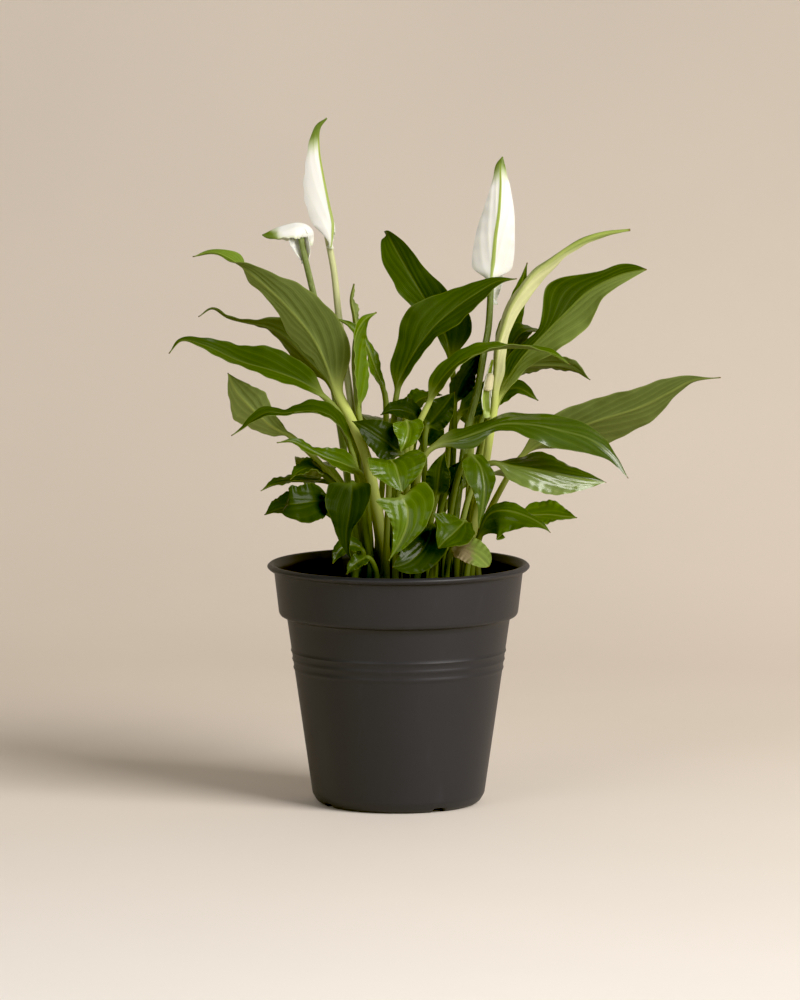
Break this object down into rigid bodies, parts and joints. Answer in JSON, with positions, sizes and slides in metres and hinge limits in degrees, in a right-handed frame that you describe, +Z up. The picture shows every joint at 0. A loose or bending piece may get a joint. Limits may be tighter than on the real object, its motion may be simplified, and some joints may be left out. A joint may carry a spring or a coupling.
{
  "type": "potted peace lily plant",
  "caption": "Peace lily with arching glossy leaves, white hooded blooms on upright stalks and a rolled new leaf, growing in a tapered round nursery pot filled with soil.",
  "frame": {"origin": "middle of the pot's foot, on the surface that the pot stands on", "axes": "+Z up along the pot's axis, -Y towards the viewer in front, +X to the viewer's right"},
  "size_m": [0.2742, 0.1819, 0.3421],
  "materials": {
    "pot": "matte charcoal, slightly scuffed",
    "soil": "dark crumbly potting soil",
    "leaf": "glossy green above, paler and matte below",
    "new_leaf": "pale yellow-green, satin",
    "old_leaf": "yellowing with a withered edge",
    "stalk": "satin light green",
    "spathe": "soft white with a green midrib",
    "spadix": "knobbly cream"
  },
  "bodies": {
    "root": {"pot": "pot", "soil": "soil", "leaf_tall_left": "leaf", "leaf_narrow_upright": "leaf", "leaf_left_long": "leaf", "leaf_left_twisted": "leaf", "leaf_left_arching": "leaf", "leaf_left_upturned": "leaf", "leaf_left_low": "leaf", "leaf_left_small": "leaf", "leaf_left_thin": "leaf", "leaf_left_round": "leaf", "leaf_left_behind_round": "leaf", "leaf_hanging_dark": "leaf", "leaf_front_heart": "leaf", "leaf_front_drooping": "leaf", "leaf_front_small": "leaf", "leaf_centre_dark": "leaf", "leaf_centre_arching": "leaf", "leaf_centre_broad": "leaf", "leaf_tall_back": "leaf", "leaf_back_dark": "leaf", "leaf_new_rolled": "new_leaf", "leaf_right_upper": "leaf", "leaf_right_behind": "leaf", "leaf_right_hidden": "leaf", "leaf_right_tip": "leaf", "leaf_far_right": "leaf", "leaf_right_long": "leaf", "leaf_right_glossy": "leaf", "leaf_right_hanging": "leaf", "leaf_right_low": "leaf", "leaf_right_low_back": "leaf", "leaf_front_cupped": "leaf", "leaf_old_yellow": "old_leaf", "leaf_low_dark": "leaf", "leaf_rim_left": "leaf", "leaf_rim_front": "leaf", "leaf_front_left_dark": "leaf", "leaf_centre_upright": "leaf", "leaf_centre_bright": "leaf", "leaf_centre_back": "leaf", "leaf_tip_hooked": "leaf", "leaf_back_left": "leaf", "leaf_rolled_tip": "leaf", "leaf_slim_dark": "leaf", "leaf_centre_low": "leaf", "leaf_centre_shade": "leaf", "leaf_rear_left": "leaf", "leaf_rear_middle": "leaf", "leaf_rear_right": "leaf", "bloom_left_stalk": "stalk", "bloom_left_spathe": "spathe", "bloom_left_spadix": "spadix", "bloom_bud_stalk": "stalk", "bloom_bud_spathe": "spathe", "bloom_right_stalk": "stalk", "bloom_right_spathe": "spathe", "bloom_right_spadix": "spadix", "bloom_young": "spathe"}
  },
  "joints": []
}
